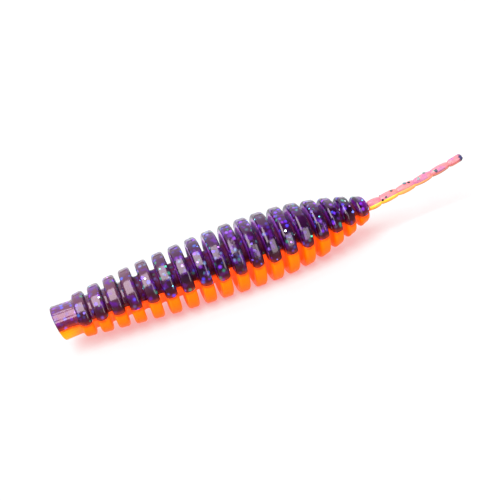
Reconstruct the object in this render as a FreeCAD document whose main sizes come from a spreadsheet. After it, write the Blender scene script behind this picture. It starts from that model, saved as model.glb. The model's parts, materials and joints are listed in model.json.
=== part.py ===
import FreeCAD, Part
import Sketcher
import os

# Ribbed soft-plastic worm, a fishing lure 61 mm long, in millimetres.
#
# It is one moulding of two bonded shots of soft plastic: a violet back above the
# seam and an orange belly below it. A round core carries 18 disc ribs and ends in
# a thin beaded tail. The core bends in each neck between two ribs, and the tail in
# the neck behind each bead, so the moulding is divided there. Each piece is the
# rib or bead between two necks, once for the back and once for the belly. Its ends
# are shallow cones that point at the neck's pivot, as deep as the neck bends.
#
# Frame: the origin is the centre of the nose face, +X runs along the core to the
# tail, and +Z points to the back.

SIZES = {
    # nose and core
    "core_radius": 2.35,
    "core_end_radius": 1.25,
    "nose_length": 2.91,
    "nose_round": 0.25,
    "nose_cut_angle": 7.0,
    # ribs
    "rib_width": 1.62,
    "rear_rib_width": 1.5,
    "front_gap": 0.66,
    "neck_gap": 0.83,
    "rear_gap": 0.75,
    "rim_round": 0.38,
    "root_round": 0.1,
    "first_rib_radius": 3.1,
    "widest_radius": 4.9,
    "last_rib_radius": 2.02,
    "front_power": 1.8,
    "rear_power": 2.1,
    "rest_height": 4.5,
    "body_bend": 10.0,
    # tail
    "dome_length": 0.53,
    "dome_radius": 1.2,
    "stub_length": 2.0,
    "bead_length": 2.77,
    "tip_length": 2.35,
    "bead_root_radius": 0.76,
    "bead_tip_radius": 0.56,
    "bead_neck_depth": 0.22,
    "bead_shoulder": 0.45,
    "bead_round": 0.2,
    "tip_round": 0.45,
    "tail_rise": 5.5,
    "tail_curl": 1.1,
    "tail_bend": 30.0,
    # clearances at the pivots
    "pivot_gap": 0.02,
    "spare_angle": 0.5,
}
RIBS = 18
FRONT_GAP_RIBS = 4  # the front gap parts these
WIDE_RIBS = 15  # ribs as far as this one have the full width, and the rear gap parts those behind
FRONT_RIBS = 11  # the body is widest in the neck behind this rib
CORE_TAPER_NECK = 12  # the core keeps its full radius as far as this neck
RIM_SHARE = 0.6  # the round of a rim takes no more than this share of its disc's faces
ROOT_SHARE = 0.3  # and the round at their foot no more than this
BEADS = 6
HALVES = ("back", "belly")
MATCH = 1e-4

doc = FreeCAD.newDocument("worm")
sheet = doc.addObject("Spreadsheet::Sheet", "Sizes")
for row, (alias, value) in enumerate(SIZES.items(), start=1):
    sheet.set(f"A{row}", alias)
    sheet.set(f"B{row}", str(value))
    sheet.setAlias(f"B{row}", alias)
doc.recompute()


def size(alias):
    """The expression that reads one cell of the sheet."""
    return f"Sizes.{alias}"


def number(expression):
    """What an expression comes to now."""
    return float(sheet.evalExpression(expression.replace("Sizes.", "")))


# ---- stations along the core, as expressions -------------------------------------


def rib_width(rib):
    return size("rib_width") if rib <= WIDE_RIBS else size("rear_rib_width")


def rib_front(rib):
    """The front face of a rib, counted from 1 at the nose."""
    wide = min(rib - 1, WIDE_RIBS)
    front_gaps = min(rib, FRONT_GAP_RIBS) - 1
    rear_gaps = max(rib, WIDE_RIBS) - WIDE_RIBS
    neck_gaps = rib - 1 - front_gaps - rear_gaps
    ribs = f"{wide} * {size('rib_width')} + {rib - 1 - wide} * {size('rear_rib_width')}"
    gaps = f"{front_gaps} * {size('front_gap')} + {neck_gaps} * {size('neck_gap')}"
    gaps += f" + {rear_gaps} * {size('rear_gap')}"
    return f"({size('nose_length')} + {ribs} + {gaps})"


def rib_rear(rib):
    return f"({rib_front(rib)} + {rib_width(rib)})"


def rib_middle(rib):
    return f"({rib_front(rib)} + {rib_width(rib)} / 2)"


def pivot(neck):
    """The middle of the neck behind a rib, where it bends. The last one is the tail's root."""
    if neck == RIBS:
        return f"({rib_rear(RIBS)} + {size('dome_length')})"
    return f"(({rib_rear(neck)} + {rib_front(neck + 1)}) / 2)"


def rim_radius(rib, station):
    """The body's radius at a station of a rib: a power curve down from the widest neck to each end."""
    front = rib <= FRONT_RIBS
    end_rib = 1 if front else RIBS
    end_radius = size("first_rib_radius" if front else "last_rib_radius")
    power = size("front_power" if front else "rear_power")
    widest = pivot(FRONT_RIBS)
    share = f"(({station} - {widest}) / ({rib_middle(end_rib)} - {widest}))"
    return f"({size('widest_radius')} - ({size('widest_radius')} - {end_radius}) * {share} ^ {power})"


def core_radius(neck):
    """The core's radius in a neck: full along the body, then down evenly to the last neck."""
    taper = max(0, neck - CORE_TAPER_NECK) / (RIBS - 1 - CORE_TAPER_NECK)
    return f"({size('core_radius')} - {taper} * ({size('core_radius')} - {size('core_end_radius')}))"


def bend_limit(neck):
    """How far a neck bends: until the rims on both sides of it meet, and no further than body_bend."""
    edge = rim_radius(neck, rib_rear(neck))
    if neck >= FRONT_RIBS:
        edge = rim_radius(neck + 1, rib_front(neck + 1))
    along = f"({pivot(neck)} - {rib_rear(neck)} + {size('rim_round')})"
    out = f"({edge} - {size('rim_round')})"
    reach = f"sqrt({along} ^ 2 + {out} ^ 2)"
    met = f"2 * (acos({size('rim_round')} / {reach}) - atan({out} / {along})) / 1 deg"
    return f"min({met}; {size('body_bend')})"


def neck_relief(neck, radius):
    """How far a core end's cone reaches along the axis, so that both ends clear at the limit."""
    return f"({radius} * tan({bend_limit(neck)} / 2 + {size('spare_angle')}))"


# ---- how a piece is made ------------------------------------------------------------


def origin_plane(body, role):
    return next(f for f in body.Origin.OriginFeatures if f.Role == role)


def outline(body, name, plane, points):
    """A closed sketch of lines whose corners are bound to the sheet. None puts a corner on that axis."""
    sketch = body.newObject("Sketcher::SketchObject", name)
    sketch.AttachmentSupport = [(origin_plane(body, plane), "")]
    sketch.MapMode = "FlatFace"
    places = [FreeCAD.Vector(*(number(e) if e else 0.0 for e in p), 0) for p in points]
    for i, place in enumerate(places):
        sketch.addGeometry(Part.LineSegment(place, places[(i + 1) % len(places)]), False)
    for i, (across, up) in enumerate(points):
        sketch.addConstraint(Sketcher.Constraint("Coincident", i, 2, (i + 1) % len(points), 1))
        for kind, axis, expression, value in (
            ("DistanceX", -2, across, places[i].x),
            ("DistanceY", -1, up, places[i].y),
        ):
            if expression is None:
                sketch.addConstraint(Sketcher.Constraint("PointOnObject", i, 1, axis))
                continue
            made = sketch.addConstraint(Sketcher.Constraint(kind, -1, 1, i, 1, value))
            sketch.renameConstraint(made, f"{kind}_{i}")
            sketch.setExpression(f"Constraints.{kind}_{i}", expression)
    return sketch


def half_turn(node, half, profile):
    """A body whose profile, drawn as along and out, is turned half round +X above or below the seam."""
    body = doc.addObject("PartDesign::Body", node)
    body.Label = node
    sketch = outline(body, f"{node}_profile", "XY_Plane", profile)
    turned = body.newObject("PartDesign::Revolution", f"{node}_turned")
    turned.Profile = sketch
    turned.ReferenceAxis = (sketch, ["H_Axis"])
    turned.Angle = 180.0
    turned.Reversed = half == "belly"
    doc.recompute()
    return body


def edges_where(body, fits):
    """The names of the edges of the body so far that a test accepts."""
    return [f"Edge{i}" for i, edge in enumerate(body.Tip.Shape.Edges, start=1) if fits(edge)]


def turned_from(*corners):
    """A test for the arcs that these corners of the profile, given as along and out, turned into."""
    places = [(number(along), number(out)) for along, out in corners]

    def fits(edge):
        return isinstance(edge.Curve, Part.Circle) and any(
            abs(edge.Curve.Center.x - along) < MATCH and abs(edge.Curve.Radius - out) < MATCH
            for along, out in places
        )

    return fits


def round_edges(body, name, radius, fits):
    """Rounds the edges that a test accepts."""
    base, chosen = body.Tip, edges_where(body, fits)
    rounded = body.newObject("PartDesign::Fillet", name)
    rounded.Base = (base, chosen)
    rounded.Radius = number(radius)
    rounded.setExpression("Radius", radius)
    doc.recompute()


def cut_through(body, name, points):
    """Cuts a shape that is drawn on the XZ plane right through the piece."""
    sketch = outline(body, f"{name}_sketch", "XZ_Plane", points)
    cut = body.newObject("PartDesign::Pocket", name)
    cut.Profile = sketch
    cut.Type = "ThroughAll"
    cut.Midplane = True
    doc.recompute()


# ---- the nose: the bare end of the core, snipped a little out of square ---------------


def nose(half):
    node = f"nose_{half}"
    radius, length = size("core_radius"), size("nose_length")
    slant = f"({radius} * tan({size('nose_cut_angle')}))"
    # the back's half runs forward of the origin and the belly's stops behind it
    if half == "back":
        profile = [(f"-{slant}", None), (f"-{slant}", radius), (length, radius), (length, None)]
    else:
        profile = [(None, None), (None, radius), (length, radius), (length, None)]
    body = half_turn(node, half, profile)
    sign = "" if half == "back" else "-"
    ahead = f"-2 * {slant}"
    lip = f"-{slant}" if half == "back" else slant
    corners = [(None, None), (lip, f"{sign}{radius}"), (ahead, f"{sign}{radius}"), (ahead, None)]
    cut_through(body, f"{node}_cut", corners)
    round_edges(body, f"{node}_lip", size("nose_round"), lambda edge: isinstance(edge.Curve, Part.Ellipse))
    return body


# ---- the ribs ---------------------------------------------------------------------


def rib(index, half):
    """A disc and the core stubs on its two sides, each as far as the neck's pivot."""
    node = f"rib_{index:02d}_{half}"
    front, rear = rib_front(index), rib_rear(index)
    front_rim, rear_rim = rim_radius(index, front), rim_radius(index, rear)
    gap = size("pivot_gap")
    face = f"(min({front_rim}; {rear_rim}) - {core_radius(max(1, index - 1))})"
    profile = []
    roots = []
    stubs = []
    if index == 1:
        profile += [(front, None)]
    else:
        radius = core_radius(index - 1)
        start = f"({pivot(index - 1)} + {gap})"
        mouth = f"({start} + {neck_relief(index - 1, radius)})"
        profile += [(start, None), (mouth, radius), (front, radius)]
        roots += [(front, radius)]
        stubs += [f"{front} - {mouth}"]
    profile += [(front, front_rim), (rear, rear_rim)]
    end = f"({pivot(index)} - {gap})"
    if index == RIBS:
        # the last rib closes the body with a low dome that the tail springs from
        radius = size("bead_root_radius")
        relief = f"({radius} * tan({size('tail_bend')} / 2 + {size('spare_angle')}))"
        crown = f"({rear} + {size('dome_length')} / 3)"
        profile += [(crown, size("dome_radius")), (f"({end} - {relief})", radius), (end, None)]
    else:
        radius = core_radius(index)
        mouth = f"({end} - {neck_relief(index, radius)})"
        profile += [(rear, radius), (mouth, radius), (end, None)]
        roots += [(rear, radius)]
        stubs += [f"{mouth} - {rear}"]
    body = half_turn(node, half, profile)
    rim_round = f"min({size('rim_round')}; {RIM_SHARE} * {face})"
    round_edges(body, f"{node}_rim", rim_round, turned_from((front, front_rim), (rear, rear_rim)))
    # the round where the core meets the disc takes no more than half of the stub it stands on
    limits = [size("root_round"), f"{ROOT_SHARE} * {face}"] + [f"({stub}) / 2" for stub in stubs]
    round_edges(body, f"{node}_root", f"min({'; '.join(limits)})", turned_from(*roots))
    if half == "belly" and number(f"max({front_rim}; {rear_rim})") > number(size("rest_height")):
        floor = f"-{size('rest_height')}"
        under = f"-{size('rest_height')} - {size('widest_radius')}"
        cut_through(
            body,
            f"{node}_rest",
            [(front, floor), (rear, floor), (rear, under), (front, under)],
        )
    return body


# ---- the tail ---------------------------------------------------------------------


def bead_radius(bead):
    """Down evenly from the first bead to the last."""
    share = (bead - 1) / (BEADS - 1)
    root, tip = size("bead_root_radius"), size("bead_tip_radius")
    return f"({root} - {share} * ({root} - {tip}))"


def bead_length(bead):
    if bead == BEADS:
        return size("tip_length")
    return size("stub_length") if bead == 1 else size("bead_length")


def bead_angle(bead):
    """How far a bead points above the core's axis."""
    return f"({size('tail_rise')} + {bead - 1} * {size('tail_curl')})"


def bead_start(bead):
    """The pivot in front of a bead, as along and up."""
    along = " + ".join([pivot(RIBS)] + [f"{bead_length(i)} * cos({bead_angle(i)})" for i in range(1, bead)])
    up = " + ".join(["0"] + [f"{bead_length(i)} * sin({bead_angle(i)})" for i in range(1, bead)])
    return along, up


def tail_bead(bead, half):
    """One barrel of the tail, made along X from its own pivot and then set at its place and angle."""
    node = f"tail_{bead}_{half}"
    radius, length, gap = bead_radius(bead), bead_length(bead), size("pivot_gap")
    neck = f"({radius} - {size('bead_neck_depth')})"
    relief = f"({neck} * tan({size('tail_bend')} / 2 + {size('spare_angle')}))"
    shoulder = size("bead_shoulder")
    profile = [(gap, None), (f"({gap} + {relief})", neck), (shoulder, radius)]
    if bead == BEADS:
        profile += [(length, radius), (length, None)]
    else:
        behind = f"({length} - {shoulder})"
        profile += [(behind, radius), (f"({length} - {gap} - {relief})", neck), (f"({length} - {gap})", None)]
    body = half_turn(node, half, profile)
    if bead == BEADS:
        round_edges(body, f"{node}_tip", size("tip_round"), turned_from((length, radius)))
        round_edges(body, f"{node}_shoulder", size("bead_round"), turned_from((shoulder, radius)))
    else:
        shoulders = turned_from((shoulder, radius), (behind, radius))
        round_edges(body, f"{node}_shoulder", size("bead_round"), shoulders)
    along, up = bead_start(bead)
    body.Placement = FreeCAD.Placement(FreeCAD.Vector(), FreeCAD.Rotation(FreeCAD.Vector(0, -1, 0), 1.0))
    body.setExpression("Placement.Base.x", along)
    body.setExpression("Placement.Base.z", up)
    body.setExpression("Placement.Rotation.Angle", bead_angle(bead))
    doc.recompute()
    return body


# ---- build, check and write ----------------------------------------------------------

pieces = [nose(half) for half in HALVES]
pieces += [rib(index, half) for index in range(1, RIBS + 1) for half in HALVES]
pieces += [tail_bead(bead, half) for bead in range(1, BEADS + 1) for half in HALVES]
doc.recompute()

failed = [o.Name for o in doc.Objects if {"Invalid", "Error"} & set(o.State)]
if failed:
    raise RuntimeError(f"these objects failed: {failed}")
for piece in pieces:
    if piece.Shape.isNull() or not piece.Shape.isValid() or piece.Shape.Volume <= 0:
        raise RuntimeError(f"{piece.Label} is not a valid solid")

os.makedirs("parts", exist_ok=True)
for piece in pieces:
    piece.Shape.exportStep(f"parts/{piece.Label}.step")
    box = piece.Shape.BoundBox
    print(f"{piece.Label:16s} {piece.Shape.Volume:8.3f} mm3  {len(piece.Shape.Solids)} solid"
          f"  X {box.XMin:7.3f} {box.XMax:7.3f}  Y {box.YMin:7.3f} {box.YMax:7.3f}"
          f"  Z {box.ZMin:7.3f} {box.ZMax:7.3f}")
for neck in range(1, RIBS):
    print(f"neck {neck:2d}: pivot {number(pivot(neck)):7.4f}, bends {number(bend_limit(neck)):6.2f} degrees")
for bead in range(1, BEADS + 1):
    along, up = bead_start(bead)
    print(f"tail {bead}: pivot {number(along):8.4f} {number(up):8.4f}, angle {number(bead_angle(bead)):5.2f}")
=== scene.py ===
import bmesh
import bpy
import math
import numpy as np
from mathutils import Matrix, Vector
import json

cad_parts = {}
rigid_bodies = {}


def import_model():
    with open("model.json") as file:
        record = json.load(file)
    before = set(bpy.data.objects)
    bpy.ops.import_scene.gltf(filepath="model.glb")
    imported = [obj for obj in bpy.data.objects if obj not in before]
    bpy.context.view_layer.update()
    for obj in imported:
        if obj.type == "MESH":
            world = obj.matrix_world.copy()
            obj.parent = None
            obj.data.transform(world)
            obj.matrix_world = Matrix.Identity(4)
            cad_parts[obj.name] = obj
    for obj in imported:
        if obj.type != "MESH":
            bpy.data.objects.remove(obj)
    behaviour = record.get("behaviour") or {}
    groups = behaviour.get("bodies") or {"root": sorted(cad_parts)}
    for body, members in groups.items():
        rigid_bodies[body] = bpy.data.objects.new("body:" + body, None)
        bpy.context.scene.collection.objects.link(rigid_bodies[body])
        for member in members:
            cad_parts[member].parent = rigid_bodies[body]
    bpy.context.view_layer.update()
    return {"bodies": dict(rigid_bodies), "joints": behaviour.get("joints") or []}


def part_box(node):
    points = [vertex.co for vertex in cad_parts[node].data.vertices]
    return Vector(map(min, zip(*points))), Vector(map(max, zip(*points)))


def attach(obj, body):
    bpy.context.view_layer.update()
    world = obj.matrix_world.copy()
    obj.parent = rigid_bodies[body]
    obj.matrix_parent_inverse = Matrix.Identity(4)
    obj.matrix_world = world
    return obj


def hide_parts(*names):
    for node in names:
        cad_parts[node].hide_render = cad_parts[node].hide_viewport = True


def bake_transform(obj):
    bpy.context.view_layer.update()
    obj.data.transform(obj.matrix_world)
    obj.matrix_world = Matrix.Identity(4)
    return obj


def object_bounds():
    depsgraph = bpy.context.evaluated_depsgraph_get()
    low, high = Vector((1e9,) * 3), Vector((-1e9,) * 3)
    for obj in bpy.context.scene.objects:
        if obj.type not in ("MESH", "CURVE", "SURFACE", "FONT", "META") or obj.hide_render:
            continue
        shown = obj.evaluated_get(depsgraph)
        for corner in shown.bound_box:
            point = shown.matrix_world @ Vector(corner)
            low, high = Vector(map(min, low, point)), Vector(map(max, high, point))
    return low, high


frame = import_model()

# ---- camera, softboxes and table ------------------------------------------------------
# The lure lies belly down on a bare white table under two large softboxes. The camera is
# close, near the nose and a quarter up, and is rolled so that the tail climbs to the right.

MM = 0.001  # the sizes in this script are millimetres, and Blender's are metres
REST_HEIGHT = -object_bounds()[0].z / MM
CAMERA_AT = (12.0, -100.7, 51.5)
CAMERA_AIM = (27.7, 0.0, 0.2)
CAMERA_ROLL = 16.7
CAMERA_LENS = 59.5


def place(thing, at, aim, roll=0.0):
    """Stands a camera or light at a point, facing another, and turns it about its own line of sight."""
    look = Vector(aim) - Vector(at)
    turn = look.to_track_quat("-Z", "Y").to_matrix().to_4x4()
    rolled = Matrix.Rotation(math.radians(roll), 4, "Z")
    thing.matrix_world = Matrix.Translation(Vector(at) * MM) @ turn @ rolled


camera = bpy.data.objects.new("camera", bpy.data.cameras.new("camera"))
bpy.context.collection.objects.link(camera)
camera.data.lens = CAMERA_LENS
camera.data.clip_start = MM
place(camera, CAMERA_AT, CAMERA_AIM, -CAMERA_ROLL)
bpy.context.scene.camera = camera
bpy.context.scene.view_settings.view_transform = "Standard"


def softbox(name, sides, distance, elevation, height, strength, turn=0.0):
    """A rectangular lamp from one x to another, facing the lure, elevation degrees up from the camera's side.

    Its power is strength times pi times its area, so a larger box isn't a dimmer one.
    """
    left, right = sides
    lamp = bpy.data.lights.new(name, "AREA")
    lamp.shape = "RECTANGLE"
    lamp.size, lamp.size_y = (right - left) * MM, height * MM
    lamp.energy = strength * (right - left) * height * MM * MM * math.pi
    made = bpy.data.objects.new(name, lamp)
    bpy.context.collection.objects.link(made)
    up = math.radians(elevation)
    middle = (left + right) / 2
    place(made, (middle, -distance * math.cos(up), distance * math.sin(up)), (middle, 0, 0), turn)


# the front box is over the nose from 40 to 93 degrees up. The dimmer rear one reaches from
# there down to a low white screen, and a low panel stands off to the tail's side.
softbox("softbox_front", (-1300, 105), distance=1032, elevation=66, height=1008, strength=25.0)
softbox("softbox_rear", (-1000, 1200), distance=1000, elevation=123, height=1160, strength=3.2, turn=4.0)
softbox("screen", (-1500, 1700), distance=1280, elevation=170.5, height=432, strength=1.7)
softbox("panel", (178, 700), distance=1032, elevation=20, height=900, strength=16.0)


class Wire:
    """One output of a shader node. Sums and products of wires and numbers add Math nodes to its tree."""

    def __init__(self, tree, socket=None):
        self.tree, self.socket = tree, socket

    def node(self, kind, settings=(), inputs=(), output=0):
        """Adds a node: its settings are set first, then its sockets get values or links."""
        made = self.tree.nodes.new(f"ShaderNode{kind}")
        for name, value in dict(settings).items():
            if name == "stops":
                while len(made.color_ramp.elements) < len(value):
                    made.color_ramp.elements.new(1.0)
                for element, (where, colour) in zip(made.color_ramp.elements, value):
                    element.position, element.color = where, (*colour, 1.0)
            else:
                setattr(made, name, value)
        for name, value in dict(inputs).items():
            socket = made.inputs[name]
            if isinstance(value, Wire):
                self.tree.links.new(value.socket, socket)
            elif isinstance(value, tuple) and len(value) == 3 and socket.type == "RGBA":
                socket.default_value = (*value, 1.0)
            else:
                socket.default_value = value
        return Wire(self.tree, made.outputs[output])

    def math(self, operation, a, b):
        return self.node("Math", {"operation": operation}, {0: a, 1: b})

    def __add__(self, other):
        return self.math("ADD", self, other)

    def __sub__(self, other):
        return self.math("SUBTRACT", self, other)

    def __rsub__(self, other):
        return self.math("SUBTRACT", other, self)

    def __mul__(self, other):
        return self.math("MULTIPLY", self, other)

    def __truediv__(self, other):
        return self.math("DIVIDE", self, other)

    __radd__, __rmul__ = __add__, __mul__

    def ramp(self, low, high):
        """0 below low and 1 above high, with a smooth step between."""
        kind = {"interpolation_type": "SMOOTHSTEP"}
        return self.node("MapRange", kind, {"Value": self, "From Min": low, "From Max": high})

    def mix(self, a, b):
        """The colour a where this wire is 0, b where it is 1."""
        return self.node("Mix", {"data_type": "RGBA"}, {0: self, 6: a, 7: b}, 2)


# the room is dim overhead and pale all round at the height of the table
PALE_WALL = (0.9, 0.9, 0.9)
DIM_CEILING = (0.09, 0.09, 0.10)
WALL_FADES = (0.3, 0.5)

world = bpy.data.worlds.new("studio")
world.use_nodes = True
sky = Wire(world.node_tree)
above = sky.node("SeparateXYZ", {}, {"Vector": sky.node("TexCoord", output=0)}, 2)
walls = above.ramp(*WALL_FADES).mix(PALE_WALL, DIM_CEILING)
world.node_tree.links.new(walls.socket, world.node_tree.nodes["Background"].inputs["Color"])
bpy.context.scene.world = world


def material(name, **fixed):
    """A new Principled material, with the values that are the same all over set on its sockets.

    Returns the start of its node tree, its shader and the material.
    """
    made = bpy.data.materials.new(name)
    made.use_nodes = True
    skin = made.node_tree.nodes["Principled BSDF"]
    for socket, value in fixed.items():
        skin.inputs[socket.replace("_", " ")].default_value = value
    return Wire(made.node_tree), skin, made


def feed(tree, skin, **sockets):
    """Links wires to the sockets of a Principled shader."""
    for socket, wire in sockets.items():
        tree.tree.links.new(wire.socket, skin.inputs[socket.replace("_", " ")])


# The lure's shadow on the table is painted pink, for the light that the plastic tints as it lets it through.
# The table glows by itself, less in green and blue than in red, and reflects the more of them: in the lamps'
# light that adds up to white, and where the lure blocks the lamps it is a painted pink shadow. Beyond their
# reach it glows white.
TABLE_PINK_SHADOW_GLOW = (0.85, 0.30, 0.30)
TABLE_REFLECTS = (0.026, 0.119, 0.120)
TABLE_GRAIN = 400.0
TABLE_GRAIN_SHARE = 0.1
LAMPS_REACH = (150.0, 600.0)
TABLE_SIZE = 20000.0

table_looks = {"Roughness": 0.7, "Specular_IOR_Level": 0.1, "Emission_Strength": 1.0}
tree, skin, table_white = material("table_white", **table_looks)
on_table = tree.node("TexCoord", output=3)
grain = tree.node("TexNoise", {}, {"Vector": on_table, "Scale": TABLE_GRAIN})
distance = tree.node("VectorMath", {"operation": "LENGTH"}, {0: on_table}, 1) / MM
feed(
    tree, skin,
    Base_Color=(grain * TABLE_GRAIN_SHARE).mix(TABLE_REFLECTS, (0.0, 0.0, 0.0)),
    Emission_Color=distance.ramp(*LAMPS_REACH).mix(TABLE_PINK_SHADOW_GLOW, (1.0, 1.0, 1.0)),
)

table = bpy.data.meshes.new("table")
corners = np.array([(-1, -1, 0), (1, -1, 0), (1, 1, 0), (-1, 1, 0)]) * TABLE_SIZE / 2
table.from_pydata(((corners + (0, 0, -REST_HEIGHT)) * MM).tolist(), [], [(0, 1, 2, 3)])
table = bpy.data.objects.new("table", table)
bpy.context.collection.objects.link(table)
table.data.materials.append(table_white)

# ---- the two plastics and the glitter ---------------------------------------------------
# The back is violet plastic with glitter stirred in, the belly clear orange. Both are soft
# and oily bright. Where the moulding is thin, in its necks, more light comes through it, and that light is
# painted in.

# colours of the violet: low on the body and, painted lighter, high on it for the light that falls from above;
# painted lighter on the discs' faces and in necks and nose for the light that comes through the thin plastic;
# and painted redder where it thins out over the orange, for the orange light that comes through
VIOLET = (0.0018, 0.0001, 0.0024)
VIOLET_LIT_FROM_ABOVE = (0.0095, 0.0012, 0.0105)
VIOLET_FACE = (0.075, 0.004, 0.135)
VIOLET_FACE_LIT_FROM_ABOVE = (0.17, 0.045, 0.23)
VIOLET_THIN_LIT_THROUGH = (0.036, 0.003, 0.018)
VIOLET_NOSE = (0.080, 0.014, 0.045)
VIOLET_ORANGE_LIT_AT_SEAM = (0.018, 0.0002, 0.0022)
VIOLET_FRINGE = (0.11, 0.008, 0.002)
VIOLET_SMALL_RIB_LIT_TOP = (0.026, 0.008, 0.017)
VIOLET_CLOUD = (0.024, 0.0020, 0.060)
VIOLET_SHINE = (1.0, 0.85, 0.93, 1.0)
ORANGE = (0.62, 0.060, 0.0)
ORANGE_THIN_LIT_THROUGH = (0.62, 0.070, 0.014)
ORANGE_AT_SEAM = (0.56, 0.048, 0.0)
ORANGE_FRINGE = (0.22, 0.013, 0.002)
ORANGE_NOSE = (0.64, 0.17, 0.0)
TAIL_PINK = (0.168, 0.047, 0.064)
TAIL_MAUVE = (0.125, 0.042, 0.088)
TAIL_AMBER = (0.46, 0.19, 0.012)
TAIL_SALMON = (0.30, 0.090, 0.065)
TAIL_PEACH = (0.26, 0.064, 0.044)
TAIL_END = (0.025, 0.020, 0.045)

# heights above the axis and lengths from the nose, in millimetres, over which the colours change
VIOLET_RISES = (1.0, 4.5)
FACE_RISES = (1.5, 4.2)
NOSE_ENDS = (2.6, 3.4)
SMALL_RIB_RISES = (0.6, 2.6)
SMALL_RIBS_END = (8.0, 20.0)
VIOLET_REDDENS = (0.3, 2.1)
VIOLET_FRINGE_ENDS = (0.05, 0.7)
ORANGE_NOSE_ENDS = (0.8, 3.3)
ORANGE_RISES = (-1.6, 0.1)
ORANGE_FRINGE_ENDS = (0.05, 0.6)
TAIL_FADES = (46.0, 60.0)
TAIL_DARKENS = (59.9, 60.6)

# patterns, in waves per metre, and the spacing of the sunk flakes in millimetres
SLOW_WAVES = 420.0
FINE_GRAIN = 2600.0
CLOUDS = 1000.0
TAIL_CLOUDS = 700.0
SLOW_SHARE = 0.75
ROUGHNESS_SPREAD = 0.12
SUNK_FLAKE_SPACING = 0.62
SUNK_FLAKE_COLOURS = [
    (0.0, (0.01, 0.06, 0.2)),
    (0.3, (0.03, 0.01, 0.3)),
    (0.55, (0.11, 0.01, 0.26)),
    (0.85, (0.01, 0.1, 0.07)),
]


def wavy_skin(tree, skin, roughness, depth):
    """A moulded surface that is a little uneven: slow waves and fine grain, as bump and as roughness."""
    where = tree.node("TexCoord", output=3)
    slow = tree.node("TexNoise", {}, {"Vector": where, "Scale": SLOW_WAVES, "Detail": 1.0})
    grain = tree.node("TexNoise", {}, {"Vector": where, "Scale": FINE_GRAIN, "Detail": 2.0})
    height = slow * SLOW_SHARE + grain * (1 - SLOW_SHARE)
    bump = tree.node("Bump", {}, {"Strength": 1.0, "Distance": depth * MM, "Height": height})
    uneven = grain * ROUGHNESS_SPREAD + (roughness - ROUGHNESS_SPREAD / 2)
    feed(tree, skin, Normal=bump, Roughness=uneven)
    return where


def measures(tree, where):
    """A point's length from the nose, height above the axis and height from the seam, in millimetres."""
    along = tree.node("SeparateXYZ", {}, {"Vector": where}, 0) / MM
    height = tree.node("SeparateXYZ", {}, {"Vector": where}, 2) / MM
    from_seam = tree.node("Attribute", {"attribute_name": "from_seam"}, output=2)
    return along, height, from_seam


def violet_plastic(name, roughness, shine):
    """The back's plastic: near black, violet where cloudy, with sunk flakes, and painted violet or mauve
    where it is thin or high, for light that comes through it or falls on it from above.
    """
    tree, skin, made = material(name, IOR=1.5, Specular_IOR_Level=shine, Specular_Tint=VIOLET_SHINE)
    where = wavy_skin(tree, skin, roughness, depth=0.05)
    thin = tree.node("Attribute", {"attribute_name": "thin"}, output=2)
    along, height, from_seam = measures(tree, where)
    cloud = tree.node("TexNoise", {}, {"Vector": where, "Scale": CLOUDS, "Detail": 2.0})
    # painted light: the body and the faces are painted lighter high up, for the light that falls on them from
    # above
    face = height.ramp(*FACE_RISES).mix(VIOLET_FACE, VIOLET_FACE_LIT_FROM_ABOVE)
    body = height.ramp(*VIOLET_RISES).mix(VIOLET, VIOLET_LIT_FROM_ABOVE)
    # painted light: where thin, in the faces, necks and nose, the violet is painted purple, mauve or maroon
    # for the light that comes through it
    body = thin.ramp(0.0, 0.3).mix(body, face)
    body = thin.ramp(0.7, 1.0).mix(body, along.ramp(*NOSE_ENDS).mix(VIOLET_NOSE, VIOLET_THIN_LIT_THROUGH))
    # painted light: the small front ribs are painted lighter at the top, for the light they let through there
    small = height.ramp(*SMALL_RIB_RISES) * (1.0 - along.ramp(*SMALL_RIBS_END))
    body = small.mix(body, VIOLET_SMALL_RIB_LIT_TOP)
    body = (cloud.ramp(0.5, 0.7) * 0.85).mix(body, VIOLET_CLOUD)
    # painted light: the violet is painted redder over the seam, for the orange light that comes through it
    # there, and it is brown in patches along the seam
    orange_light_through = (1.0 - from_seam.ramp(*VIOLET_REDDENS)) * 0.92
    body = orange_light_through.mix(body, VIOLET_ORANGE_LIT_AT_SEAM)
    fringe = (1.0 - from_seam.ramp(*VIOLET_FRINGE_ENDS)) * cloud.ramp(0.25, 0.6)
    body = fringe.mix(body, VIOLET_FRINGE)
    # flakes below the surface: each cell of the pattern holds one, of its own colour and depth
    cell = {"Vector": where, "Scale": 1.0 / (SUNK_FLAKE_SPACING * MM), "Randomness": 1.0}
    reach = tree.node("TexVoronoi", {}, cell, 0)
    chance = tree.node("TexVoronoi", {}, cell, 1)
    hue = tree.node("SeparateColor", {}, {"Color": chance}, 0)
    sunk = tree.node("SeparateColor", {}, {"Color": chance}, 1)
    flake_colour = tree.node("ValToRGB", {"stops": SUNK_FLAKE_COLOURS}, {"Fac": hue})
    flake = (1.0 - reach.ramp(0.1, 0.6)) * sunk.ramp(0.35, 1.0)
    body = (flake * 0.8).mix(body, flake_colour)
    feed(tree, skin, Base_Color=body)
    return made


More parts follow.
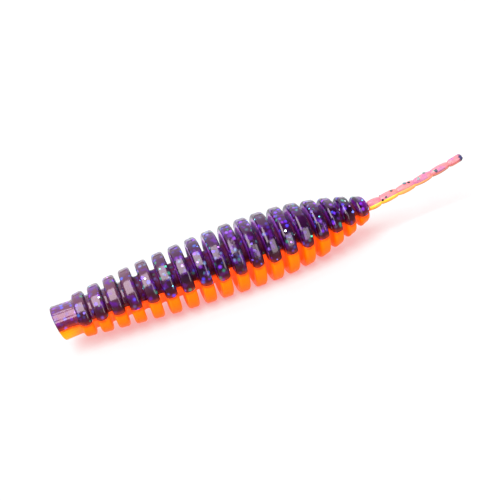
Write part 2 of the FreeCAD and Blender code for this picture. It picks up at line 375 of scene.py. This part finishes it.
def orange_plastic(name, roughness, shine):
    """The belly's plastic: clear orange with a painted glow for the light that comes through it, amber at the
    nose and redder, then brown, at the seam.
    """
    tree, skin, made = material(name, IOR=1.45, Specular_IOR_Level=shine, Emission_Strength=0.9)
    where = wavy_skin(tree, skin, roughness, depth=0.04)
    thin = tree.node("Attribute", {"attribute_name": "thin"}, output=2)
    along, height, from_seam = measures(tree, where)
    cloud = tree.node("TexNoise", {}, {"Vector": where, "Scale": CLOUDS, "Detail": 2.0})
    # painted light: where thin, the orange is painted a little yellower, for the light that comes through it
    body = thin.ramp(0.5, 1.0).mix(ORANGE, ORANGE_THIN_LIT_THROUGH)
    amber = (1.0 - along.ramp(*ORANGE_NOSE_ENDS)) * 0.9
    body = amber.mix(body, ORANGE_NOSE)
    body = (height.ramp(*ORANGE_RISES) * 0.6).mix(body, ORANGE_AT_SEAM)
    fringe = (1.0 - from_seam.ramp(*ORANGE_FRINGE_ENDS)) * (cloud.ramp(0.3, 0.65) * 0.6 + 0.3)
    body = fringe.mix(body, ORANGE_FRINGE)
    feed(tree, skin, Base_Color=body, Emission_Color=body)
    return made


def tail_plastic(name, at_root, at_tip, patches, share):
    """The tail's plastic: one colour at its root, another at its dark end, cloudy patches of a third, and a
    faint painted glow for the light that comes through it.
    """
    tree, skin, made = material(name, IOR=1.45, Specular_IOR_Level=0.11, Emission_Strength=0.15)
    where = wavy_skin(tree, skin, roughness=0.25, depth=0.04)
    along = tree.node("SeparateXYZ", {}, {"Vector": where}, 0) / MM
    cloud = tree.node("TexNoise", {}, {"Vector": where, "Scale": TAIL_CLOUDS, "Detail": 2.0})
    body = along.ramp(*TAIL_FADES).mix(at_root, at_tip)
    body = (cloud.ramp(0.42, 0.6) * share).mix(body, patches)
    body = (along.ramp(*TAIL_DARKENS) * 0.8).mix(body, TAIL_END)
    feed(tree, skin, Base_Color=body, Emission_Color=body)
    return made


def glowing_flake_film():
    """The flakes' metallised film, which takes each flake's colour from the mesh and glows in it, a painted
    glint.
    """
    tree, skin, made = material("glowing_flake_film", Metallic=0.6, Roughness=0.3, Emission_Strength=0.45)
    colour = tree.node("Attribute", {"attribute_name": "flake_colour"})
    feed(tree, skin, Base_Color=colour, Emission_Color=colour)
    return made


# each half has an oily bright plastic and, for the flat faces of its discs, a dull one
PLASTIC = {
    "back": (violet_plastic("violet_bright", 0.13, 0.18), violet_plastic("violet_dull", 0.5, 0.03)),
    "belly": (orange_plastic("orange_bright", 0.22, 0.06), orange_plastic("orange_dull", 0.5, 0.02)),
}
tail_back = tail_plastic("tail_back_plastic", TAIL_PINK, TAIL_MAUVE, TAIL_PEACH, 0.6)
tail_belly = tail_plastic("tail_belly_plastic", TAIL_AMBER, TAIL_SALMON, TAIL_SALMON, 0.4)
TAIL_PLASTIC = {"back": (tail_back, tail_back), "belly": (tail_belly, tail_belly)}
FLAKE = glowing_flake_film()

# ---- the ribs -------------------------------------------------------------------------
# Each rib is a disc with the core's neck behind it, which runs on into the next rib. The
# mould's two shots meet along a seam that wanders a little. The discs are not quite true.

JOINTS = {joint["name"]: joint for joint in frame["joints"]}
NECKS = [joint["pos_m"][0] / MM for name, joint in JOINTS.items() if name.startswith("neck")]
RIBS = len(NECKS) + 1
NOSE_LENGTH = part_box("nose_back")[1].x / MM
RIB_WIDTH = 1.62
REAR_RIB_WIDTH = 1.5
FULL_WIDTH_RIBS = 15
RIM_ROUND = 0.42
DRAFT = 0.05
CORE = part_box("nose_back")[1].y / MM
REAR_CORE = 1.25
CORE_TAPER_NECK = 12
NECK_FLARE = 0.18
EMBED = 0.4
ARC_STEPS = 72
FLAT_STEPS = 6
SEAM_GROOVE = 0.02
SEAM_GROOVE_WIDTH = 0.1
FLUTES = 29  # how many fine furrows go once round
SHINY_NECKS = 3
FLAKE_RADIUS = 0.17
FLAKE_THICKNESS = 0.02
FLAKES_PER_MM2 = 0.24
TAIL_FLAKE_RADIUS = 0.28
TAIL_FLAKES_PER_MM2 = 0.5
FLAKE_TILT = 0.10
FLAKE_SIZES = (0.5, 1.15)
FLAKE_DULLEST = 0.1
FLAKE_BRIGHTEST = 1.0
TAIL_FLAKE_BRIGHTEST = 0.4
# the flakes glow in their colour, so the bright ones carry painted glints
FLAKE_GLINTS = 3.2  # the power that leaves only a few flakes bright
# the last colour, white and above one, glows as a painted white glint
FLAKE_COLOURS = np.array(
    [
        (0.14, 0.62, 0.95),
        (0.10, 0.14, 0.70),
        (0.19, 0.08, 0.65),
        (0.40, 0.16, 0.60),
        (0.05, 0.42, 0.28),
        (1.1, 1.4, 1.5),
    ]
)
FLAKE_SHARES = (0.22, 0.13, 0.13, 0.13, 0.18, 0.21)
SLOPE_KEPT = 0.5
SEAM_DROP = 0.22
SEAM_DROP_REACH = 0.75
SEAM_WAVE = 0.09
SWELL = 0.005
DENT = 0.003
LEAN = 0.03
TILT = 0.06
TILT_RIBS = (0, 6, 9, 14)
TILT_SHARES = (-0.4, 0.2, 1.0, 1.0)
AXIS_OUT = 1e-3  # a profile starts this far out, so that its first loop has a size
SHARP_EDGE = 40  # degrees
SAG = 0.2
SAG_AT = 33.5
SAG_REACH = 9.0

widths = np.where(np.arange(RIBS) < FULL_WIDTH_RIBS, RIB_WIDTH, REAR_RIB_WIDTH)
fronts = np.empty(RIBS)
fronts[0] = NOSE_LENGTH
for i in range(1, RIBS):
    fronts[i] = 2 * NECKS[i - 1] - (fronts[i - 1] + widths[i - 1])
centres = fronts + widths / 2
reaches = np.array([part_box(f"rib_{i:02d}_back")[1].z / MM for i in range(1, RIBS + 1)])
slopes = np.gradient(reaches, centres)
tapers = np.clip((np.arange(1, RIBS + 1) - CORE_TAPER_NECK) / (RIBS - 1 - CORE_TAPER_NECK), 0, 1)
cores = CORE - tapers * (CORE - REAR_CORE)


def seam_heights(along, centre, rng):
    """The seam's height on the near and far side at each place along the axis.

    It is SEAM_WAVE sin(along w + start) + level, less SEAM_DROP (1 - ((along - centre) / reach)^2)
    on a disc, with w, start and level drawn at random for each side.
    """
    drop = SEAM_DROP * np.clip(1 - ((along - centre) / SEAM_DROP_REACH) ** 2, 0, 1)
    waves = [
        SEAM_WAVE * np.sin(along * rng.uniform(0.8, 2.2) + rng.uniform(0, 6.3)) + rng.uniform(-0.12, 0.1)
        for side in range(2)
    ]
    return np.stack(waves, 1) - drop[:, None]


def half_round(along, out, half, seam, swell, dent, lean=(0.0, 0.0), tilt=0.0, flutes=0.0):
    """Turns a profile half round its axis, from one seam to the other, and closes it across with a flat.

    Point = (along, -out cos a, out sin a), with a from asin(seam / out) on the near side over the back
    or under the belly to the far side's. The flat joins the two ends in straight steps. swell and dent
    are the size and start of three and five waves round it, lean and tilt shift a disc's rim along by
    lean sin(a + start) and tilt sin(a), and flutes is the depth of fine furrows, all shares of out.
    """
    steps = (1 - np.cos(np.linspace(0, math.pi, ARC_STEPS))) / 2
    held = np.clip(out / CORE, 0.0, 1.0)[:, None] * seam
    ends = np.arcsin(np.clip(held / np.maximum(out, 1e-6)[:, None], -0.6, 0.6))
    start = ends[:, :1]
    stop = math.pi - ends[:, 1:] if half == "back" else -math.pi - ends[:, 1:]
    angle = start + steps * (stop - start)
    near = np.minimum(np.abs(angle - start), np.abs(angle - stop)) * out[:, None]
    groove = SEAM_GROOVE * np.exp(-((near / SEAM_GROOVE_WIDTH) ** 2))
    radius = out[:, None] - groove * np.clip(out, 0, 1)[:, None]
    waves = swell[0] * np.sin(3 * angle + swell[1]) + dent[0] * np.sin(5 * angle + dent[1])
    radius = radius * (1 + waves + flutes * np.sin(FLUTES * angle))
    shift = lean[0] * np.sin(angle + lean[1]) * np.clip(out / CORE - 1, 0, 1)[:, None]
    shift += tilt * np.sin(angle) * out[:, None] / CORE
    arc = np.stack([along[:, None] + shift, -radius * np.cos(angle), radius * np.sin(angle)], 2)
    share = np.linspace(0, 1, FLAT_STEPS + 2)[1:-1][None, :, None]
    flat = arc[:, -1:] * (1 - share) + arc[:, :1] * share
    return np.concatenate([arc, flat], 1)


def sagged(points):
    """Lets the body down between its ends: z falls by SAG exp(-((x - SAG_AT) / SAG_REACH)^2)."""
    points[..., 2] -= SAG * np.exp(-(((points[..., 0] - SAG_AT) / SAG_REACH) ** 2))
    return points


def rest_flat(points, depth):
    """Presses what is below a depth flat: z = -depth + s log(1 + exp((z + depth) / s))."""
    soft = 0.02
    z = points[..., 2]
    points[..., 2] = -depth + soft * np.logaddexp(0, (z + depth) / soft)
    return points


def loops_to_mesh(loops):
    """Vertices and faces of closed loops laid one after another, with a point closing each end."""
    count, around = loops.shape[:2]
    ring = np.arange(around)
    after = np.roll(ring, -1)
    start = (np.arange(count - 1) * around)[:, None]
    quads = np.stack([start + ring, start + after, start + around + after, start + around + ring], 2)
    tip, end = count * around, count * around + 1
    last = (count - 1) * around
    fans = [(tip, b, a) for a, b in zip(ring, after)]
    fans += [(end, last + a, last + b) for a, b in zip(ring, after)]
    vertices = np.concatenate([loops.reshape(-1, 3), loops[:1].mean(1), loops[-1:].mean(1)])
    return vertices, quads.reshape(-1, 4).tolist() + [tuple(int(v) for v in fan) for fan in fans]


def flakes(surface, normals, radius, rng):
    """Hexagonal chips lying at points of a surface.

    Corner = centre + size (cos t across + sin t over) in a tangent plane that is tilted a little, once
    below and once above the centre by half a chip's thickness.
    """
    count = len(surface)
    tilted = normals + rng.normal(0, FLAKE_TILT, (count, 3))
    tilted /= np.linalg.norm(tilted, axis=1)[:, None]
    across = np.cross(tilted, rng.normal(size=(count, 3)))
    across /= np.linalg.norm(across, axis=1)[:, None]
    over = np.cross(tilted, across)
    turn = (np.arange(6) * math.pi / 3)[None, :, None]
    size = radius * rng.uniform(*FLAKE_SIZES, count)[:, None, None]
    ring = size * (np.cos(turn) * across[:, None] + np.sin(turn) * over[:, None])
    lift = tilted[:, None] * FLAKE_THICKNESS / 2
    middle = surface[:, None] + normals[:, None] * FLAKE_THICKNESS * 0.25
    vertices = np.concatenate([middle + ring - lift, middle + ring + lift], 1).reshape(-1, 3)
    faces = []
    for first in range(0, count * 12, 12):
        faces.append([first + i for i in range(5, -1, -1)])
        faces.append([first + 6 + i for i in range(6)])
        faces += [[first + i, first + (i + 1) % 6, first + 6 + (i + 1) % 6, first + 6 + i] for i in range(6)]
    return vertices, faces


def scatter(loops, along_limits, per_mm2, rng):
    """Picks points of the turned surface at random by area, and gives them with their outward normals."""
    arc = loops[:, :ARC_STEPS]
    a, b, c, d = arc[:-1, :-1], arc[1:, :-1], arc[1:, 1:], arc[:-1, 1:]
    cross = np.cross(c - a, d - b)
    area = np.linalg.norm(cross, axis=2) / 2
    middle = (a + b + c + d) / 4
    low, high = along_limits
    area = np.where((middle[..., 0] > low) & (middle[..., 0] < high), area, 0.0)
    count = rng.poisson(area.sum() * per_mm2)
    chosen = rng.choice(area.size, count, p=area.ravel() / area.sum())
    i, j = np.unravel_index(chosen, area.shape)
    s, t = rng.uniform(size=(2, count, 1))
    points = (a[i, j] * (1 - s) + b[i, j] * s) * (1 - t) + (d[i, j] * (1 - s) + c[i, j] * s) * t
    normals = cross[i, j] / np.linalg.norm(cross[i, j], axis=1)[:, None]
    outward = np.sign((normals * (points - loops.reshape(-1, 3).mean(0))).sum(1))
    return points, normals * outward[:, None]


def moulded(node, half, loops, thin, dull, flake_limits, rng, plastic=PLASTIC, matrix=None):
    """Makes one half of a piece from its loops, with its glitter, and hides its CAD node."""
    vertices, faces = loops_to_mesh(loops)
    around = loops.shape[1]
    kind = np.concatenate([np.repeat(dull[:-1] & dull[1:], around), np.full(2 * around, dull[0])]).astype(int)
    thinness = np.concatenate([np.repeat(thin, around), thin[[0, -1]]])
    near_seam, far_seam = loops[:, :1, 2], loops[:, ARC_STEPS - 1:ARC_STEPS, 2]
    from_seam = np.abs(loops[..., 2] - np.where(loops[..., 1] < 0, near_seam, far_seam)).ravel()
    from_seam = np.concatenate([from_seam, [0.0, 0.0]])
    colours = np.zeros((len(faces), 3))
    if half == "back":
        in_tail = plastic is TAIL_PLASTIC
        per_mm2 = TAIL_FLAKES_PER_MM2 if in_tail else FLAKES_PER_MM2
        radius = TAIL_FLAKE_RADIUS if in_tail else FLAKE_RADIUS
        brightest = TAIL_FLAKE_BRIGHTEST if in_tail else FLAKE_BRIGHTEST
        points, normals = scatter(loops, flake_limits, per_mm2, rng)
        chips, chip_faces = flakes(points, normals, radius, rng)
        faces = faces + [[v + len(vertices) for v in face] for face in chip_faces]
        vertices = np.concatenate([vertices, chips])
        thinness = np.concatenate([thinness, np.zeros(len(chips))])
        from_seam = np.concatenate([from_seam, np.zeros(len(chips))])
        pick = FLAKE_COLOURS[rng.choice(len(FLAKE_COLOURS), len(points), p=FLAKE_SHARES)]
        pick = pick * rng.uniform(FLAKE_DULLEST, brightest, (len(points), 1)) ** FLAKE_GLINTS
        colours = np.concatenate([colours, np.repeat(pick, 8, axis=0)])
        kind = np.concatenate([kind, np.full(len(chip_faces), 2)])
    mesh = bpy.data.meshes.new(f"{node}_skin")
    mesh.from_pydata((vertices * MM).tolist(), [], faces)
    piece = bpy.data.objects.new(f"{node}_skin", mesh)
    bpy.context.collection.objects.link(piece)
    for name, values in (("thin", thinness), ("from_seam", from_seam)):
        mesh.attributes.new(name, "FLOAT", "POINT").data.foreach_set("value", values.astype(np.float32))
    flake_colour = mesh.attributes.new("flake_colour", "FLOAT_COLOR", "CORNER")
    totals = np.empty(len(mesh.polygons), dtype=np.int32)
    mesh.polygons.foreach_get("loop_total", totals)
    rgba = np.concatenate([np.repeat(colours, totals, axis=0), np.ones((totals.sum(), 1))], 1)
    flake_colour.data.foreach_set("color", rgba.astype(np.float32).ravel())
    for made in (*plastic[half], FLAKE):
        mesh.materials.append(made)
    mesh.polygons.foreach_set("material_index", kind.astype(np.int32))
    mesh.polygons.foreach_set("use_smooth", kind < 2)
    editable = bmesh.new()
    editable.from_mesh(mesh)
    bmesh.ops.recalc_face_normals(editable, faces=editable.faces)
    editable.to_mesh(mesh)
    editable.free()
    mesh.set_sharp_from_angle(angle=math.radians(SHARP_EDGE))
    if matrix is not None:
        mesh.transform(matrix)
    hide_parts(node)
    return piece


def rim_arc(x, r, first, last):
    """Seven points of the rounded edge of a rim, a quarter circle between two directions given in degrees."""
    a = np.radians(np.linspace(first, last, 7))
    return x + RIM_ROUND * np.cos(a), r + RIM_ROUND * np.sin(a)


def disc_profile(i):
    """A disc from the centre of its front face over its rounded rim to the foot of its rear face."""
    front, rear = fronts[i], fronts[i] + widths[i]
    half_drop = slopes[i] * widths[i] / 2
    middle = reaches[i] - abs(half_drop) * SLOPE_KEPT
    front_rim, rear_rim = middle - half_drop * SLOPE_KEPT, middle + half_drop * SLOPE_KEPT
    front_face = np.linspace(0, front_rim - RIM_ROUND, 9)[:-1]
    rear_face = np.linspace(rear_rim - RIM_ROUND, cores[i] + NECK_FLARE, 7)[1:]
    a, b = rim_arc(front + RIM_ROUND, front_rim - RIM_ROUND, 180, 90)
    c, d = rim_arc(rear - RIM_ROUND, rear_rim - RIM_ROUND, 90, 0)
    flat = np.linspace(0, 1, 6)[1:-1]
    along = np.concatenate(
        [front - DRAFT * (front_rim - front_face) / front_rim, a, a[-1] + flat * (c[0] - a[-1]), c,
         rear + DRAFT * (rear_rim - rear_face) / rear_rim]
    )
    out = np.concatenate([front_face, b, b[-1] + flat * (d[0] - b[-1]), d, rear_face])
    return along, out


def neck_profile(start, stop, first_core, last_core, flare):
    """A neck from a face to inside the next piece: out = core + flare t^4, with t from -1 to 1 along it."""
    t = np.concatenate([np.linspace(-1, 1, 15)[1:], [1 + 2 * EMBED / (stop - start)]])
    along = (start + stop) / 2 + t * (stop - start) / 2
    core = first_core + (t + 1) / 2 * (last_core - first_core)
    return along, core + flare * np.minimum(np.abs(t), 1) ** 4


bodies = list(frame["bodies"])
for i in range(RIBS - 1):
    rng = np.random.default_rng(100 + i)
    tilt = TILT * np.interp(i, TILT_RIBS, TILT_SHARES)
    turns = rng.uniform(0, 6.3, 3)
    untrue = {"swell": (SWELL, turns[0]), "dent": (DENT, turns[1]), "lean": (LEAN, turns[2]), "tilt": tilt}
    along, out = disc_profile(i)
    rear = fronts[i] + widths[i]
    neck_along, neck_out = neck_profile(rear, fronts[i + 1], cores[i], cores[i], NECK_FLARE)
    along, out = np.concatenate([along, neck_along]), np.concatenate([out, neck_out])
    out[0] = AXIS_OUT
    seam = seam_heights(along, centres[i], rng)
    face_out = reaches[i] - RIM_ROUND
    thin = np.clip((face_out - out) / (face_out - cores[i] - NECK_FLARE), 0, 1) ** 0.7
    # the faces are dull as far out as the rounds of the rim, and so are the deeper necks
    neck = along > rear + 0.06
    dull = np.where(neck, i >= SHINY_NECKS, out < reaches[i] - RIM_ROUND - 0.05)
    for half in ("back", "belly"):
        node = f"rib_{i + 1:02d}_{half}"
        loops = sagged(half_round(along, out, half, seam, **untrue))
        if half == "belly":
            loops = rest_flat(loops, REST_HEIGHT)
        piece = moulded(node, half, loops, thin, dull, (fronts[i] - 0.2, fronts[i + 1] - 0.1), rng)
        bodies[i + 1]
        rear * MM
        fronts[i + 1] * MM
        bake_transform(piece)

# ---- the nose -------------------------------------------------------------------------
# The front end of the core is bare, and the jig head's collar butts against it. It was
# snipped from the sprue a little out of square, and its edge is softened.

NOSE_CUT = 7.0
NOSE_ROUND = 0.25
NOSE_SWELL = 0.05
NOSE_FLARE_LENGTH = 0.45
NOSE_FLUTES = 0.0065

rng = np.random.default_rng(7)
a = np.radians(np.linspace(180, 90, 7))
face = np.linspace(0, CORE - NOSE_ROUND, 8)[:-1]
tube = np.linspace(NOSE_ROUND, NOSE_LENGTH, 12)[1:]
along = np.concatenate(
    [np.zeros(len(face)), NOSE_ROUND + NOSE_ROUND * np.cos(a), tube, [NOSE_LENGTH + EMBED]]
)
out = np.concatenate([face, CORE - NOSE_ROUND + NOSE_ROUND * np.sin(a), np.full(len(tube) + 1, CORE)])
out = out + NECK_FLARE * np.clip((along - NOSE_LENGTH + NOSE_FLARE_LENGTH) / NOSE_FLARE_LENGTH, 0, 1) ** 4
out = out * (1 + NOSE_SWELL * np.clip(1 - along / NOSE_LENGTH, 0, 1))
out[0] = AXIS_OUT
seam = seam_heights(along, -5.0, rng)
for half in ("back", "belly"):
    untrue = {"swell": (0.006, 1.0), "dent": (0.004, 2.0), "flutes": NOSE_FLUTES}
    loops = sagged(half_round(along, out, half, seam, **untrue))
    slant = np.clip(1 - loops[..., 0] / NOSE_LENGTH, 0, 1)
    loops[..., 0] -= slant * loops[..., 2] * math.tan(math.radians(NOSE_CUT))
    thin = np.full(len(along), 1.0)
    piece = moulded(f"nose_{half}", half, loops, thin, along < 0, (0.2, NOSE_LENGTH - 0.2), rng)
    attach(piece, "head")

# ---- the last rib and the tail -----------------------------------------------------------
# The last rib is domed behind, and the tail grows from the dome: a stub and five barrels
# joined by thin necks. It is thin enough to let light through, painted in as a pink and orange glow all
# through.

TAILS = [joint for name, joint in JOINTS.items() if name.startswith("tail")]
BEAD_RADIUS = [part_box(f"tail_{k}_back")[1].y / MM for k in range(1, len(TAILS) + 1)]
BEAD_NECK_DEPTH = 0.22
DOME_LENGTH = TAILS[0]["pos_m"][0] / MM - fronts[-1] - widths[-1]
SEAM_ON_TAIL = (0.65, 0.5, 0.0, -0.6)  # the seam's height on these beads: the tail ends in violet
SEAM_ON_BEADS = (0, 2, 3, 5)

i = RIBS - 1
rng = np.random.default_rng(100 + i)
untrue = {"swell": (0.005, 1.0), "dent": (0.003, 2.0), "lean": (0.03, 3.0), "tilt": 0.03}
along, out = disc_profile(i)
rear = fronts[i] + widths[i]
keep = along < rear - 0.02
t = np.linspace(0, 1, 10)
dome_along = rear - 0.02 + t * (DOME_LENGTH - 0.15)
dome_out = BEAD_RADIUS[0] + (out[keep][-1] - BEAD_RADIUS[0]) * np.cos(t * math.pi / 2) ** 0.9
stub_along = np.array([rear + DOME_LENGTH - 0.05, rear + DOME_LENGTH + 0.2, rear + DOME_LENGTH + 0.5])
stub_out = np.full(3, BEAD_RADIUS[0] - BEAD_NECK_DEPTH * 0.6)
along = np.concatenate([along[keep], dome_along, stub_along])
out = np.concatenate([out[keep], dome_out, stub_out])
out[0] = AXIS_OUT
seam = seam_heights(along, centres[i], rng)
thin = np.clip((reaches[i] - out) / reaches[i], 0, 1)
dull = (out < reaches[i] - RIM_ROUND - 0.05) & (along < centres[i])
for half in ("back", "belly"):
    loops = sagged(half_round(along, out, half, seam, **untrue))
    flake_limits = (fronts[i], rear + DOME_LENGTH - 0.2)
    piece = moulded(f"rib_{RIBS:02d}_{half}", half, loops, thin, dull, flake_limits, rng)
    (rear + 0.4) * MM
    (rear + 1.0) * MM
    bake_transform(piece)

pivots = np.array([joint["pos_m"] for joint in TAILS])
steps = np.diff(pivots, axis=0)
angles = np.arctan2(steps[:, 2], steps[:, 0])
angles = np.append(angles, 2 * angles[-1] - angles[-2])
lengths = np.linalg.norm(steps, axis=1) / MM
tip_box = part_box(f"tail_{len(TAILS)}_belly")
lengths = np.append(lengths, (tip_box[1].x - pivots[-1, 0]) / MM / math.cos(angles[-1]))

for k, joint in enumerate(TAILS):
    rng = np.random.default_rng(200 + k)
    start = Vector(joint["pos_m"])
    last = k == len(TAILS) - 1
    length = lengths[k]
    radius = BEAD_RADIUS[k]
    t = np.linspace(0, 1, 25)
    neck = radius - BEAD_NECK_DEPTH
    if last:
        barrel = neck + (radius - neck) * np.minimum(np.sin(np.clip(t * 4, 0, 1) * math.pi / 2), 1)
        barrel = barrel * np.sqrt(np.clip(1 - np.clip((t - 0.8) / 0.2, 0, 1) ** 2, 1e-4, 1))
        along, out = t * length, barrel
    else:
        barrel = neck + (radius - neck) * np.clip(np.sin(t * math.pi), 0, 1) ** 0.45
        along = np.concatenate([t * length, [length + 0.3, length + 0.55]])
        out = np.concatenate([barrel, [neck * 0.97, neck * 0.9]])
    seam = seam_heights(along, -50.0, rng) * 0.6 + np.interp(k, SEAM_ON_BEADS, SEAM_ON_TAIL)
    turns = rng.uniform(0, 6.3, 2)
    matrix = Matrix.Translation(start) @ Matrix.Rotation(-angles[k], 4, "Y")
    for half in ("back", "belly"):
        loops = half_round(along, out, half, seam, swell=(0.03, turns[0]), dent=(0.02, turns[1]))
        thin = np.full(len(along), 1.0)
        node = f"tail_{k + 1}_{half}"
        piece = moulded(node, half, loops, thin, along < 0, (0.2, length - 0.2), rng, TAIL_PLASTIC, matrix)
        if last:
            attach(piece, f"tail_{k + 1}")
        else:
            f"tail_{k + 1}"
            f"tail_{k + 2}"
            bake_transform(piece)
